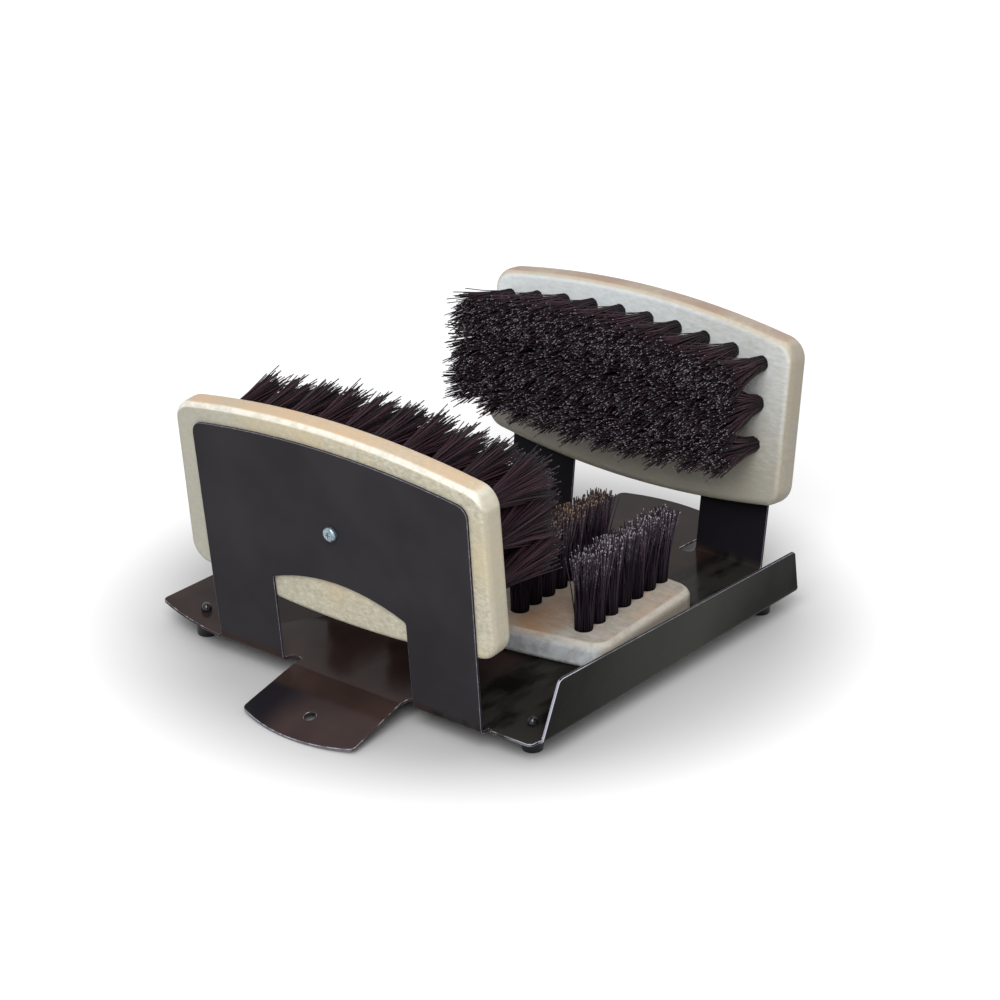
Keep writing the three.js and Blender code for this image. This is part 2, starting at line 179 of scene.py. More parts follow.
def join(tree, value, socket):
    """Links a socket to another, or sets it to a plain value."""
    if isinstance(value, Link):
        tree.links.new(value.socket, socket)
    else:
        socket.default_value = value


def colour(red, green, blue):
    """A colour as it is seen on a screen, from 0 to 255, as the light that it sends back."""
    shares = [part / 255 for part in (red, green, blue)]
    return (*[s / 12.92 if s < 0.04 else ((s + 0.055) / 1.055) ** 2.4 for s in shares], 1)


def finish(name):
    """A new material, with the places on its piece, and a way to set its shader's sockets."""
    material = bpy.data.materials.new(name)
    material.use_nodes = True
    tree = material.node_tree
    place = Link(tree, tree.nodes.new("ShaderNodeTexCoord").outputs["Object"])
    shader = tree.nodes["Principled BSDF"]

    def coat(**sockets):
        for label, value in sockets.items():
            join(tree, value, shader.inputs[label.replace("_", " ")])

    return material, place, coat


# The enamel: where the zones of the sheet are and the tone of each, with painted reflections on the
# plate, the tongue and the lip, painted shade on the uprights' inner sides, and the bare steel of two
# cut ends, painted bright as a highlight too.
enamel, place, coat = finish("brown_stove_enamel")
across, along, height = place.parts()
facing = place.facing()
upright = height.step(15 * mm, 20 * mm) * (across * across).step((100 * mm) ** 2, (110 * mm) ** 2)
lip = along.step(-131 * mm, -132.2 * mm)
tongue = across.step(-141 * mm, -147 * mm)
cloud = place.noise(14, 3, 0.6)
fleck = place.noise(900, 2, 0.7)
smear = place.stretched((1, 2.5, 1)).noise(26, 3, 0.55)
plate_brown = cloud.step(0.35, 0.7).tint(colour(42, 32, 30), colour(62, 48, 44))
# Towards the front the plate is painted dark with streaked bands: a painted reflection.
front_painted_reflection = smear.step(0.4, 0.6).tint(colour(20, 19, 17), colour(46, 44, 41))
plate = along.step(-56 * mm, -78 * mm).tint(plate_brown, front_painted_reflection)
# The tongue is painted dark towards its rear as a painted reflection, and keeps the enamel's brown
# towards its front.
browner = cloud.step(0.2, 0.7) * along.step(16 * mm, -8 * mm)
tongue_brown_and_reflection = browner.tint(colour(32, 30, 34), colour(70, 57, 56))
outer_grey = cloud.step(0.3, 0.7).tint(colour(43, 41, 44), colour(52, 50, 53))
# The uprights' inner sides are painted darker: painted shade.
upright_grey_and_shade = (across * facing[0]).step(mm, -mm).tint(outer_grey, colour(31, 29, 34))
# The lip is painted lighter in its middle and darker at its ends: a painted reflection of the floor.
lip_middle = across.step(-110 * mm, -30 * mm) * across.step(90 * mm, 10 * mm)
lip_reflection_share = cloud.step(0.3, 0.7) * 0.25 + lip_middle * 0.75
lip_painted_reflection = lip_reflection_share.tint(colour(16, 15, 13), colour(62, 62, 58))
flats = lip.tint(upright.tint(tongue.tint(plate, tongue_brown_and_reflection), upright_grey_and_shade), lip_painted_reflection)
# The left-facing cut ends of the lip and the tongue are bare steel, and are painted bright as a
# highlight too.
front_cut = along.step(-112 * mm, -118 * mm) * (0.3 + height.step(13.5 * mm, 15 * mm) * 0.5)
tongue_cut = across.step(-155 * mm, -165 * mm) * 0.3
bare_steel_and_highlight = facing[0].step(-0.5, -0.75) * front_cut.larger(tongue_cut)
coat(
    Base_Color=bare_steel_and_highlight.tint(flats, colour(172, 174, 186)),
    Roughness=0.13 + smear.step(0.5, 0.8) * 0.1 + upright * 0.2 + lip * 0.12,
    Normal=(place.noise(420, 2) + fleck * 0.15).relief(0.05 * mm, 0.25),
    Specular_IOR_Level=0.035,
)

# The rounded edges: a painted highlight line, paler on the uprights, chipped in places, and most
# worn at the lip's left end and the tongue's tip, which are painted bright there as a highlight too.
worn_and_highlit_edge, place, coat = finish("worn_and_highlit_enamel_edge")
across, along, height = place.parts()
chip = place.noise(260, 3, 0.6)
low = height.step(18 * mm, 13 * mm)
chipped = chip.step(0.5, 0.62) * (0.2 + low * 0.5)
# The lip's left end and the tongue's tip are worn, and are painted bright there as a highlight too.
lip_corner = along.step(-112 * mm, -122 * mm) * across.step(-70 * mm, -95 * mm)
lip_end = lip_corner * (0.4 + height.step(13 * mm, 15 * mm) * 0.5)
tongue_end = across.step(-155 * mm, -168 * mm) * (0.2 + chip.step(0.4, 0.6) * 0.6)
wear_and_highlight = chipped.larger(lip_end.larger(tongue_end))
# The edge tone is paler high up on the uprights: a painted highlight line.
coat(
    Base_Color=wear_and_highlight.tint(low.tint(colour(92, 89, 98), colour(58, 53, 56)), colour(196, 194, 206)),
    Roughness=0.3 + wear_and_highlight * 0.2,
    Metallic=wear_and_highlight * 0.4,
    Specular_IOR_Level=0.4,
)

dressed(steel_frame, enamel, worn_and_highlit_edge)
lone(steel_frame)
bpy.ops.object.shade_smooth_by_angle(angle=math.radians(30))
finished_with(
    steel_frame,
    "BEVEL",
    width=edge_round,
    segments=2,
    limit_method="ANGLE",
    angle_limit=math.radians(35),
    use_clamp_overlap=False,
    harden_normals=True,
    material=1,
)
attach(steel_frame, "root")
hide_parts("frame")

# The four feet: push-in rubber feet. A tapered pad carries the plate, and a neck runs up through it
# to a glossy bulb, which snaps through the hole and shows on top.


def started(name, primitive, **sizes):
    """A primitive in a frame of its own, that a piece is shaped from."""
    bpy.ops.object.select_all(action="DESELECT")
    primitive(**sizes)
    bpy.ops.object.transform_apply(location=True, rotation=True, scale=True)
    piece = bpy.context.object
    piece.name = piece.data.name = name
    return piece


def choose(kind, wanted):
    """Selects those vertices, edges or faces of the piece in edit mode that pass a test."""
    mesh = bmesh.from_edit_mesh(bpy.context.object.data)
    mesh.select_mode = {kind}
    bpy.ops.mesh.select_all(action="DESELECT")
    parts = {"VERT": mesh.verts, "EDGE": mesh.edges, "FACE": mesh.faces}[kind]
    for part in parts:
        part.select_set(wanted(part))
    mesh.select_flush_mode()
    bmesh.update_edit_mesh(bpy.context.object.data)


def middle(edge):
    """The place halfway along an edge."""
    return (edge.verts[0].co + edge.verts[1].co) / 2


def put(piece, matrix):
    """Moves a piece from its own frame to its place, and keeps the place in its mesh."""
    piece.matrix_world = matrix
    lone(piece)
    bpy.ops.object.transform_apply(location=True, rotation=True, scale=True)
    return piece


def joined(pieces, name):
    """Makes one piece of several."""
    lone(pieces[0])
    for piece in pieces:
        piece.select_set(True)
    bpy.ops.object.join()
    whole = bpy.context.object
    whole.name = whole.data.name = name
    return whole


rubber, place, coat = finish("smooth_black_rubber")
dust = place.noise(300, 4, 0.7).step(0.5, 0.75)
coat(
    Base_Color=dust.tint(colour(17, 19, 23), colour(44, 46, 50)),
    Roughness=0.14 + dust * 0.3,
    Normal=place.noise(1500, 2).relief(0.03 * mm, 0.3),
)

sheet = 1.5 * mm
foot_height = 12.7 * mm
play = 0.3 * mm
pad_top = foot_height - play
bulb_foot = foot_height + sheet + play
pad_radius = 6.4 * mm
sole_radius = 5.6 * mm
pad_rounding = 0.9 * mm
neck_radius = 2.2 * mm
bulb_radius = 3.05 * mm
bulb_rim = 0.25 * mm
bulb_height = 4.1 * mm


def choose_top(level):
    """Selects the round face at or above a level."""
    choose("FACE", lambda f: len(f.verts) > 8 and f.calc_center_median().z > level - 0.01 * mm)


def push_in_foot():
    """The pad, cut round from a cone, and the neck and bulb drawn up out of its top face."""
    foot = started(
        "foot",
        bpy.ops.mesh.primitive_cone_add,
        vertices=40,
        radius1=sole_radius,
        radius2=pad_radius,
        depth=pad_top,
        location=(0, 0, pad_top / 2),
    )
    bpy.ops.object.mode_set(mode="EDIT")
    choose("EDGE", lambda e: abs(e.verts[0].co.z - e.verts[1].co.z) < 0.1 * mm)
    bpy.ops.mesh.bevel(offset=pad_rounding, segments=4, affect="EDGES")
    choose_top(pad_top)
    bpy.ops.mesh.inset(thickness=pad_radius - pad_rounding - neck_radius)
    dome_foot = bulb_foot + bulb_rim
    rings = [(neck_radius, bulb_foot), (bulb_radius, dome_foot)]
    for step in range(1, 7):
        turn = math.radians(14 * step)
        rings.append((bulb_radius * math.cos(turn), dome_foot + bulb_height * math.sin(turn)))
    radius, level = neck_radius, pad_top
    for reach, top in rings:
        choose_top(level)
        bpy.ops.mesh.extrude_region_move(TRANSFORM_OT_translate={"value": (0, 0, top - level)})
        bpy.ops.transform.resize(value=(reach / radius, reach / radius, 1))
        radius, level = reach, top
    bpy.ops.object.mode_set(mode="OBJECT")
    bpy.ops.object.shade_smooth_by_angle(angle=math.radians(50))
    dressed(foot, rubber)
    return foot


first_foot = push_in_foot()
for node in ["front_left_foot", "front_right_foot", "rear_left_foot", "rear_right_foot"]:
    low_corner, high_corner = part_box(node)
    spot = (low_corner + high_corner) / 2
    foot = copied(first_foot, node + "_rubber")
    put(foot, Matrix.Translation((spot.x, spot.y, 0)))
    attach(foot, "root")
    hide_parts(node)
bpy.data.objects.remove(first_foot)

# The brush blocks: three planed blocks of pale hardwood, barrel shaped, with all their edges
# rounded and a hole drilled for each tuft. The ones on the uprights are cream coloured, and the one
# on the plate has gone grey and is worn rosy between its rows.

plate_middle = Vector((-0.42, -11.33, 12.7)) * mm
upright_reach = 127.1 * mm
lean = math.radians(6.2)
block_level = 92.4 * mm
seat = 1.8 * mm
block_length = 209 * mm
block_width = 93.4 * mm
block_thickness = 15 * mm
block_crown = 9.8 * mm
corner_radius = 10.3 * mm
back_rounding = 3.6 * mm
front_rounding = 4.8 * mm


def upright_brush(side, shift):
    """The frame of a brush on an upright: x along the block, y up it, z out of its bristle face."""
    rise = Vector((side * math.sin(lean), 0, math.cos(lean)))
    inward = Vector((-side * math.cos(lean), 0, math.sin(lean)))
    matrix = Matrix((Vector((0, -side, 0)), rise, inward)).transposed().to_4x4()
    foot = plate_middle + Vector((side * upright_reach, shift, 0))
    matrix.translation = foot + rise * block_level + inward * seat
    return matrix


brushes = {
    "left": upright_brush(-1, 2 * mm),
    "right": upright_brush(1, -2.6 * mm),
    "base": Matrix.Translation(plate_middle + Vector((4.2 * mm, 7.4 * mm, seat)))
    @ Matrix.Rotation(math.radians(93.65), 4, "Z"),
}

side_reach = 50 * mm
side_half_row = 88.2 * mm
side_row_shift = -3.7 * mm
base_row_gap = 41.2 * mm
base_half_row = 37.5 * mm
base_row_shift = -4.6 * mm
hole_radius = {"left": 4.1 * mm, "right": 4.1 * mm, "base": 5.1 * mm}
hole_depth = 9 * mm

# Each tuft's root and how far it reaches from there: three bowed rows of ten on a side brush, and
# five straight rows of seven across the base brush, whose tufts fan out a little.
side_tufts = []
for share_up, crown in [(-0.3, -4.1), (0.21, 1.8), (0.71, 8)]:
    for column in range(10):
        share = column / 4.5 - 1
        up = share_up * block_width / 2 + crown * (1 - share**2) * mm
        root = Vector((share * side_half_row + side_row_shift, up, block_thickness))
        side_tufts.append((root, Vector((0, 0, side_reach))))
base_tufts = []
for row in range(5):
    for number in range(7):
        share = number / 3 - 1
        up = share * base_half_row + base_row_shift
        root = Vector(((row - 2) * base_row_gap, up, block_thickness))
        base_tufts.append((root, Vector((0, 1.5 * share - 1.5, 41 + 1.2 * share)) * mm))
tufts = {"left": side_tufts, "right": side_tufts, "base": base_tufts}


def rim_edge(edge, level):
    """Whether an edge lies between a flat face at a level and the block's side."""
    flat = [abs(face.normal.z) > 0.9 for face in edge.link_faces]
    return abs(middle(edge).z - level) < 0.01 * mm and any(flat) and not all(flat)


def plank():
    """A block with crowned sides and rounded edges, before it is drilled."""
    block = started(
        "block",
        bpy.ops.mesh.primitive_cube_add,
        size=1,
        location=(0, 0, block_thickness / 2),
        scale=(block_length, block_width, block_thickness),
    )
    bpy.ops.object.mode_set(mode="EDIT")
    choose("EDGE", lambda e: abs(e.verts[0].co.x - e.verts[1].co.x) > block_length / 2)
    half_parts = 9
    bpy.ops.mesh.subdivide(number_cuts=2 * half_parts - 1)
    for cut in range(1, 2 * half_parts):
        share = cut / half_parts - 1
        x = share * block_length / 2
        choose("VERT", lambda v: abs(v.co.x - x) < 0.1 * mm)
        wider = 1 + (1 - share**2) * block_crown / (block_width / 2)
        bpy.ops.transform.resize(value=(1, wider, 1))
    corner = block_length / 2 - 0.1 * mm
    choose("EDGE", lambda e: abs(middle(e).x) > corner and abs(middle(e).z - block_thickness / 2) < mm)
    bpy.ops.mesh.bevel(offset=corner_radius, segments=7, affect="EDGES")
    choose("EDGE", lambda e: rim_edge(e, 0))
    bpy.ops.mesh.bevel(offset=back_rounding, segments=5, affect="EDGES")
    choose("EDGE", lambda e: rim_edge(e, block_thickness))
    bpy.ops.mesh.bevel(offset=front_rounding, segments=6, affect="EDGES")
    bpy.ops.object.mode_set(mode="OBJECT")
    return block


def turned_to(direction):
    """The turn that takes +z to a direction."""
    return Vector((0, 0, 1)).rotation_difference(direction).to_matrix().to_4x4()


def drilled(block, name, places, radius):
    """Drills a hole for each tuft, in the direction that the tuft leans in.

    The drills are turned a little, so that none of their corners lies on a seam of the block's mesh.
    """
    drills = []
    off_the_seams = Matrix.Rotation(math.radians(4), 4, "Z")
    for root, reach in places:
        drill = started(
            "drill",
            bpy.ops.mesh.primitive_cylinder_add,
            vertices=20,
            radius=radius,
            depth=2 * hole_depth,
        )
        drills.append(put(drill, Matrix.Translation(root) @ turned_to(reach) @ off_the_seams))
    cutter = joined(drills, "drills")
    wood = copied(block, name)
    finished_with(wood, "BOOLEAN", operation="DIFFERENCE", object=cutter, solver="EXACT")
    bpy.data.objects.remove(cutter)
    return wood


def even_normals(piece, sharp=35):
    """Shades the rounded edges smoothly and keeps the flats flat."""
    lone(piece)
    bpy.ops.object.shade_smooth_by_angle(angle=math.radians(sharp), keep_sharp_edges=True)
    finished_with(piece, "WEIGHTED_NORMAL", keep_sharp=True, weight=80)


# The cream wood: its grain and stains, then a painted highlight on the ridges, painted shade on the
# ends that face -y, and painted light on the far block's face, which is paler and cooler towards the
# top.
cream_wood, place, coat = finish("cream_hardwood")
across, along, height = place.parts()
grain = place.stretched((1, 0.6, 1)).noise(460, 5, 0.75)
pore = place.noise(1300, 3, 0.7)
blotch = place.noise(30, 3, 0.55)
mottle = place.noise(170, 4, 0.65)
pale = grain.step(0.32, 0.68).tint(colour(173, 167, 145), colour(207, 202, 183))
warm = (blotch.step(0.42, 0.68) * 0.6).tint(pale, colour(202, 185, 150))
dull = (mottle.step(0.5, 0.66) * 0.28).tint(warm, colour(172, 166, 144))
cream = (pore.step(0.56, 0.72) * 0.4).tint(dull, colour(158, 144, 114))
facing = place.facing()
near_one = across.step(0, -mm)
greyer = (near_one * along.step(0, 100 * mm) * 0.75).tint(cream, colour(166, 165, 153))
# A painted highlight along the rounded ridges between the faces and the top.
ridge_highlight_share = 0.35 + near_one * 0.2 + mottle.step(0.4, 0.6) * 0.35
ridge_highlight = facing[2].step(0.05, 0.25) * facing[2].step(0.97, 0.85) * ridge_highlight_share
ridge_highlight_tone = near_one.tint(colour(206, 190, 170), colour(240, 235, 222))
lit_edge = ridge_highlight.tint(greyer, ridge_highlight_tone)
rosy = near_one.tint(colour(160, 134, 120), colour(206, 176, 142))
topped = (facing[2].step(0.75, 0.95) * (0.5 + blotch.step(0.35, 0.65) * 0.4)).tint(lit_edge, rosy)
# The ends that face -y are painted darker: painted shade.
end_shade_tone = near_one.tint(colour(136, 129, 119), colour(172, 164, 145))
with_end_shade = (facing[1].step(-0.35, -0.8) * 0.7).tint(topped, end_shade_tone)
# Painted light on the far block's inner face: paler and cooler towards the top and the rear.
far_face = facing[0].step(-0.7, -0.97) * across.step(90 * mm, 110 * mm) * (0.55 + grain * 0.5)
rise = height.step(60 * mm, 140 * mm) * (0.6 + along.step(-100 * mm, 10 * mm) * 0.4)
streaks = place.stretched((1, 0.25, 1)).noise(600, 4, 0.7)
far_face_painted_light = (rise + streaks * 1.1 - 0.6).tint(colour(172, 169, 158), colour(234, 242, 247))
coat(
    Base_Color=far_face.tint(with_end_shade, far_face_painted_light),
    Roughness=0.5 + grain * 0.2,
    Normal=(grain + pore * 0.6 + mottle * 0.6).relief(0.16 * mm, 0.4),
)

# The grey wood: its grain, the rosy worn patch between two rows, the sides, paler and cooler as
# painted light, the end that faces -y, darker as painted shade, and a painted highlight on the rim.
grey_wood, place, coat = finish("weathered_hardwood")
across, along, _ = place.parts()
grain = place.stretched((1, 0.22, 1), (0, 0, math.radians(-3.65))).noise(330, 5, 0.7)
pore = place.stretched((1, 0.4, 1)).noise(1200, 3, 0.7)
blotch = place.noise(24, 3, 0.6)
mottle = place.noise(150, 4, 0.7)
pale = grain.step(0.3, 0.7).tint(colour(160, 153, 143), colour(188, 182, 172))
rosy = (blotch.step(0.4, 0.7) * 0.6).tint(pale, colour(194, 164, 134))
dull = (mottle.step(0.48, 0.66) * 0.4).tint(rosy, colour(142, 136, 128))
pored = (pore.step(0.58, 0.74) * 0.7).tint(dull, colour(126, 110, 94))
across_stain = across.step(-50 * mm, -38 * mm) * across.step(8 * mm, -8 * mm)
stain = across_stain * along.step(-84 * mm, -74 * mm) * along.step(-44 * mm, -60 * mm)
worn = (stain * (0.3 + blotch.step(0.3, 0.7) * 0.5)).tint(pored, colour(182, 132, 88))
facing = place.facing()
# The sides are painted paler and cooler as painted light, and the end that faces -y darker as painted
# shade.
cool_lit_sides = mottle.step(0.35, 0.65).tint(colour(210, 215, 220), colour(176, 180, 184))
sides_lit_and_shaded = (facing[1].step(-0.5, -0.9) * 0.8).tint(cool_lit_sides, colour(168, 156, 136))
# A painted highlight on the rounded rim between the top and the sides.
rim_highlight_share = 0.25 + mottle.step(0.4, 0.6) * 0.45
rim_highlight = facing[2].step(0.99, 0.93) * facing[2].step(0.3, 0.6) * rim_highlight_share
with_rim_highlight = rim_highlight.tint(worn, colour(206, 203, 192))
coat(
    Base_Color=(facing[2].step(0.75, 0.3) * 0.85).tint(with_rim_highlight, sides_lit_and_shaded),
    Roughness=0.55 + grain * 0.25,
    Normal=(grain + pore * 0.8 + mottle * 0.5).relief(0.16 * mm, 0.45),
)

plain_block = plank()
for brush, matrix in brushes.items():
    wood = drilled(plain_block, brush + "_brush_wood", tufts[brush], hole_radius[brush])
    put(wood, matrix)
    even_normals(wood)
    dressed(wood, grey_wood if brush == "base" else cream_wood)
    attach(wood, "root")
    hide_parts(brush + "_brush_block")
bpy.data.objects.remove(plain_block)

# The wire anchors: a staple of round wire deep in each hole, over which, in the real brush, the
# tuft's filaments are folded. They hold by being driven into the wood, and none of them shows from
# outside.

staple_wire, place, coat = finish("bright_staple_wire")
scratch = place.noise(2000, 2)
coat(
    Base_Color=scratch.tint(colour(120, 118, 112), colour(190, 188, 180)),
    Roughness=0.35,
    Metallic=1.0,
)

loop_radius = 1.7 * mm
wire_radius = 0.3 * mm
anchor_depth = hole_depth - 1.9 * mm


def staple():
    """The upper half of a ring of wire."""
    ring = started(
        "staple",
        bpy.ops.mesh.primitive_torus_add,
        major_radius=loop_radius,
        minor_radius=wire_radius,
        major_segments=12,
        minor_segments=5,
        rotation=(math.pi / 2, 0, 0),
    )
    bpy.ops.object.mode_set(mode="EDIT")
    bpy.ops.mesh.select_all(action="SELECT")
    bpy.ops.mesh.bisect(plane_co=(0, 0, 0), plane_no=(0, 0, 1), use_fill=True, clear_inner=True)
    bpy.ops.object.mode_set(mode="OBJECT")
    dressed(ring, staple_wire)
    return ring


first_staple = staple()
for brush, matrix in brushes.items():
    staples = []
    for root, reach in tufts[brush]:
        sunk = root - reach.normalized() * anchor_depth
        staples.append(put(copied(first_staple, "staple"), matrix @ Matrix.Translation(sunk)))
    anchors = joined(staples, brush + "_brush_wire_anchors")
    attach(anchors, "root")
bpy.data.objects.remove(first_staple)

# The bristles: stiff dark maroon filament, cut to one length, which in the real brush is folded over
# the anchors. A tuft leaves its hole in a tight round bundle and opens like a fan, so that the tips
# make one brush.


def filament_finish(name, dark, light, front_tip_highlight, rear_tip_highlight, tip_glint_share):
    """Dark filament that differs from one to the next, with painted highlights up the shafts and on
    some cut ends, and painted shade at the roots.
    """
    material, place, coat = finish(name)
    tone = place.node("ShaderNodeAttribute", {"attribute_name": "tone"}, output=2)
    reach = place.node("ShaderNodeAttribute", {"attribute_name": "reach"}, output=2)
    along = place.parts()[1]
    # The pale cut ends and the glints are painted highlights, golden on the base brush's rear rows.
    tip_highlight_tone = along.step(-80 * mm, -66 * mm).tint(front_tip_highlight, rear_tip_highlight)
    # Painted light up each shaft, and painted shade at the root and just below the tip.
    shaft_light_and_root_shade = tone * (0.2 + reach * 0.8) * (1 - reach.step(0.78, 0.96) * (0.7 - tip_glint_share * 0.8))
    glint = place.noise(800, 2).step(0.54, 0.66) * reach.step(0.45, 0.95) * tone.step(0.3, 0.7)
    tip = reach.step(0.975, 0.995) * tone.step(0.45, 1)
    coat(
        Base_Color=tip.tint((glint * tip_glint_share).tint(shaft_light_and_root_shade.tint(dark, light), tip_highlight_tone), tip_highlight_tone),
        Roughness=0.38 + tone * 0.2,
        Normal=place.noise(2500, 1).relief(0.02 * mm, 0.2),
        Specular_IOR_Level=0.12,
    )
    return material


side_bristle = filament_finish(
    "maroon_filament",
    dark=colour(16, 15, 19),
    light=colour(90, 62, 72),
    front_tip_highlight=colour(138, 136, 144),
    rear_tip_highlight=colour(138, 136, 144),
    tip_glint_share=0.1,
)
# The base brush has more painted glints, lighter tips and paler and golden painted highlights on its
# cut ends.
base_bristle = filament_finish(
    "maroon_filament_painted_glints",
    dark=colour(16, 13, 19),
    light=colour(84, 68, 84),
    front_tip_highlight=colour(174, 166, 172),
    rear_tip_highlight=colour(164, 138, 104),
    tip_glint_share=0.6,
)

hair_foot_radius = 0.38 * mm
hair_tip_radius = 0.32 * mm
short_hair = 43 * mm
side_bundle = 3.7 * mm
base_bundle = 4.8 * mm
part_in_hole = 5 * mm
uneven_tips = 1 * mm
loose_by = 1.3 * mm
strays = 0.02
golden_angle = 2.39996
bend_power = 1.15


def filament(length, bow):
    """One bristle, three sided, thinner at the tip and a little bent."""
    hair = started(
        "filament",
        bpy.ops.mesh.primitive_cone_add,
        vertices=3,
        radius1=hair_foot_radius,
        radius2=hair_tip_radius,
        depth=length,
        location=(0, 0, length / 2),
    )
    bpy.ops.object.mode_set(mode="EDIT")
    for share in (0.3, 0.64):
        bpy.ops.mesh.select_all(action="SELECT")
        bpy.ops.mesh.bisect(plane_co=(0, 0, share * length), plane_no=(0, 0, 1))
    for share in (0.3, 0.64, 1):
        choose("VERT", lambda v: abs(v.co.z - share * length) < 0.01 * mm)
        bpy.ops.transform.translate(value=(bow * share**2, 0, 0))
    bpy.ops.object.mode_set(mode="OBJECT")
    reached = hair.data.attributes.new("reach", "FLOAT", "POINT")
    reached.data.foreach_set("value", [v.co.z / length for v in hair.data.vertices])
    hair.data.attributes.new("tone", "FLOAT", "POINT")
    hair.data.shade_smooth()
    return hair


def bundle(hairs, count, length, radius, spread, swept, chance):
    """A tuft on +z: its filaments leave a round hole side by side, and then bend outwards."""
    pieces = []
    for number in range(count):
        share = math.sqrt((number + 0.5) / count)
        angle = number * golden_angle + chance.uniform(-0.3, 0.3)
        outward = Vector((math.cos(angle), math.sin(angle), 0)) * share
        stray = 2 if chance.random() < strays else 1
        loose = Vector((chance.gauss(0, loose_by), chance.gauss(0, loose_by), 0)) * stray
        bend = spread @ outward + swept + loose
        size = 1 + (chance.gauss(0, uneven_tips) + part_in_hole) / length
        hair = copied(chance.choice(hairs), "hair")
        spin = Matrix.Rotation(chance.uniform(0, 2 * math.pi), 4, "Z")
        start = Matrix.Translation(outward * radius - Vector((0, 0, part_in_hole)))
        hair.data.transform(start @ spin @ Matrix.Diagonal((1, 1, size, 1)))
        for corner in hair.data.vertices:
            corner.co += bend * (max(corner.co.z, 0) / length) ** bend_power
        tone = chance.random()
        hair.data.attributes["tone"].data.foreach_set("value", [tone] * len(hair.data.vertices))
        pieces.append(hair)
    return joined(pieces, "bundle")


def bristled(brush, rows, length, pushed, bristle):
    """A brush's tufts, each a copy of one of its row's bundles in its hole."""
    pieces = []
    for number, (root, reach) in enumerate(tufts[brush]):
        bundles = rows[number * len(rows) // len(tufts[brush])]
        tuft = copied(bundles[number % len(bundles)], "tuft")
        size = Matrix.Diagonal((1, 1, reach.length / length, 1))
        tuft.data.transform(
            brushes[brush] @ Matrix.Translation(root) @ turned_to(reach + pushed) @ size
        )
        pieces.append(tuft)
    whole = joined(pieces, brush + "_brush_filaments")
    dressed(whole, bristle)
    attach(whole, "root")
    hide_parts(brush + "_brush_bristles")


# Each row of a side brush has three bundles of its own, which fan out and lean as its place asks.
chance = random.Random(11)
long_hairs = [filament(side_reach, 1.5 * mm), filament(side_reach, 4 * mm)]
side_rows = []
for count, fan, tilt in [(270, 8 * mm, 2.5 * mm), (330, 15 * mm, 0), (270, 8 * mm, -5 * mm)]:
    spread = Matrix.Diagonal((5.8 * mm, fan, 0))
    swept = Vector((4.5 * mm, tilt, 0))
    side_rows.append(
        [bundle(long_hairs, count, side_reach, side_bundle, spread, swept, chance) for _ in range(3)]
    )
bristled("left", side_rows, side_reach, Vector((0, -2, 0)) * mm, side_bristle)
bristled("right", side_rows, side_reach, Vector((1, 2, 0)) * mm, side_bristle)

short_hairs = [filament(short_hair, 1.5 * mm), filament(short_hair, 3.5 * mm)]
spread = Matrix.Diagonal((mm, mm, 0))
base_row = [
    bundle(short_hairs, 200, short_hair, base_bundle, spread, Vector(), chance) for _ in range(5)
]
bristled("base", [base_row], short_hair, Vector(), base_bristle)
for spare in long_hairs + sum(side_rows, []) + short_hairs + base_row:
    bpy.data.objects.remove(spare)

# The screws: a zinc-plated pan-head wood screw with a cross recess through the sheet into the back
# of each block.

zinc, place, coat = finish("bright_zinc_plate")
brush_mark = place.noise(700, 3)
coat(
    Base_Color=brush_mark.step(0.3, 0.7).tint(colour(110, 126, 134), colour(166, 182, 190)),
    Roughness=0.25 + brush_mark * 0.2,
    Metallic=0.85,
    Normal=place.noise(1800, 2).relief(0.02 * mm, 0.3),
)

head_radius = 4.2 * mm
head_height = 2.6 * mm
head_rounding = 1.7 * mm
shank_radius = 1.8 * mm
shank_length = 10.1 * mm
point_length = 2.4 * mm
recess_bar = (3.2 * mm, 0.7 * mm, 1.2 * mm)


def pan_head_screw():
    """A head with a domed top, cut from a cylinder, its shank drawn out of its underside."""
    screw = started(
        "screw",
        bpy.ops.mesh.primitive_cylinder_add,
        vertices=40,
        radius=head_radius,
        depth=head_height,
        location=(0, 0, -head_height / 2),
    )
    bpy.ops.object.mode_set(mode="EDIT")
    choose("EDGE", lambda e: all(v.co.z < 0.1 * mm - head_height for v in e.verts))
    bpy.ops.mesh.bevel(offset=head_rounding, segments=6, affect="EDGES")
    choose("FACE", lambda f: f.calc_center_median().z > -0.01 * mm)
    bpy.ops.mesh.inset(thickness=head_radius - shank_radius)
    for length, scale in ((shank_length, 1), (point_length, 0.1)):
        bpy.ops.mesh.extrude_region_move(TRANSFORM_OT_translate={"value": (0, 0, length)})
        bpy.ops.transform.resize(value=(scale, scale, 1))
    bpy.ops.object.mode_set(mode="OBJECT")
    for turn in (0, math.pi / 2):
        blade = started(
            "blade",
            bpy.ops.mesh.primitive_cube_add,
            size=1,
            location=(0, 0, -head_height),
            scale=recess_bar,
            rotation=(0, 0, turn),
        )
        finished_with(screw, "BOOLEAN", operation="DIFFERENCE", object=blade, solver="EXACT")
        bpy.data.objects.remove(blade)
    even_normals(screw, 40)
    dressed(screw, zinc)
    return screw


first_screw = pan_head_screw()
head_level = -seat - play
for brush, shift, rise in [("left", -2, -1.2), ("right", -2.6, -1.2), ("base", 0, 0)]:
    spot = Vector((shift * mm, rise * mm, head_level))
    screw = copied(first_screw, brush + "_brush_zinc_screw")
    put(screw, brushes[brush] @ Matrix.Translation(spot))
    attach(screw, "root")
    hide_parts(brush + "_brush_screw")
bpy.data.objects.remove(first_screw)
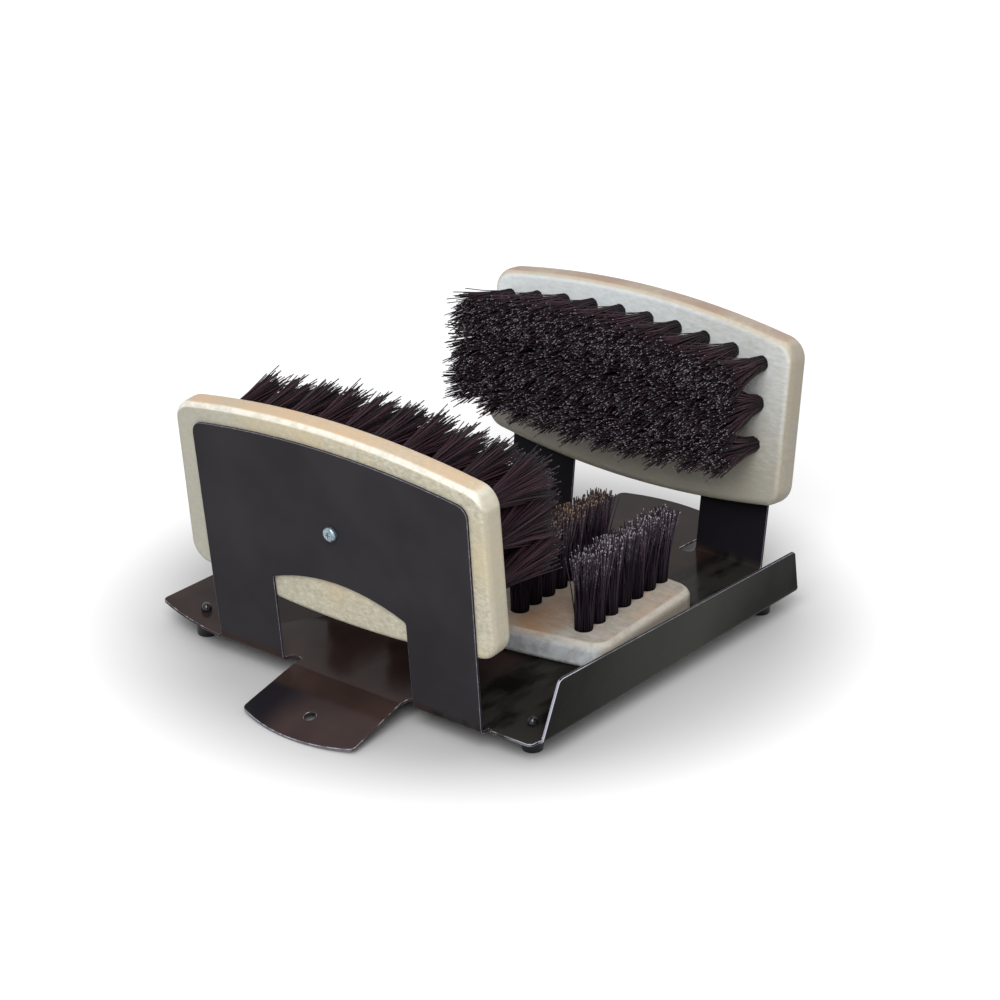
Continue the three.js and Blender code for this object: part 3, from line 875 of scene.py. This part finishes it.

# The floor and the studio: a plain pale floor, left grey round the piece as a painted shadow and
# white a little way off, white all round, and three soft lamps, of which the window on the left is
# the strongest.

bpy.ops.object.select_all(action="DESELECT")
bpy.ops.mesh.primitive_plane_add(size=8)
floor = bpy.context.object
floor.name = "floor"
pale_floor, place, coat = finish("pale_floor")
across, along, _ = place.parts()
far = (across * across + along * along).root()
# Emission whitens the floor only away from the piece, so the floor round it stays grey: a painted
# shadow.
white_past_painted_shadow = far.step(150 * mm, 250 * mm) * 0.5 + far.step(300 * mm, 1500 * mm) * 0.5
rays = pale_floor.node_tree.nodes.new("ShaderNodeLightPath").outputs
seen, mirrored = [
    Link(pale_floor.node_tree, rays[f"Is {kind} Ray"]) for kind in ("Camera", "Glossy")
]
coat(
    Base_Color=colour(206, 206, 206),
    Roughness=0.9,
    Specular_IOR_Level=0.0,
    Emission_Color=(1, 1, 1, 1),
    Emission_Strength=seen.larger(mirrored) * white_past_painted_shadow,
)
dressed(floor, pale_floor)

world = bpy.data.worlds.new("studio")
bpy.context.scene.world = world
world.use_nodes = True
tree = world.node_tree
rays = tree.nodes.new("ShaderNodeLightPath").outputs
seen, mirrored, through = [
    Link(tree, rays[f"Is {kind} Ray"]) for kind in ("Camera", "Glossy", "Transmission")
]
white = seen.larger(mirrored).larger(through).tint((0.5, 0.5, 0.51, 1), (1, 1, 1, 1))
join(tree, white, tree.nodes["Background"].inputs["Color"])

lit_point = Vector((0, 0, 0.08))
for name, spot, size, power in [
    ("window", (-1.4, -0.85, 1.45), 1.2, 34),
    ("ceiling", (0.2, 0.3, 2.2), 1.8, 5),
    ("fill", (1.5, -1.6, 0.9), 1.4, 6),
]:
    lamp = bpy.data.lights.new(name, "AREA")
    lamp.size = size
    lamp.energy = power
    holder = bpy.data.objects.new(name, lamp)
    bpy.context.scene.collection.objects.link(holder)
    holder.location = spot
    holder.rotation_euler = (lit_point - Vector(spot)).to_track_quat("-Z", "Y").to_euler()

# The camera: a long lens, level and a little above, that looks from the lip's left end over the
# near brush to the face of the far one.

turn, tilt = math.radians(-51.54), math.radians(23.52)
back = Vector((math.sin(turn) * math.cos(tilt), -math.cos(turn) * math.cos(tilt), math.sin(tilt)))
camera_data = bpy.data.cameras.new("camera")
camera_data.sensor_width = 36
camera_data.lens = 111.44
camera_data.clip_end = 50
camera = bpy.data.objects.new("camera", camera_data)
bpy.context.scene.collection.objects.link(camera)
looked_at = Vector((-4.02, -15.63, 77.8)) * mm
distance = 1686.6 * mm
camera.location = looked_at + back * distance
camera.rotation_euler = back.to_track_quat("Z", "Y").to_euler()
bpy.context.scene.camera = camera

bpy.context.scene.view_settings.view_transform = "Standard"
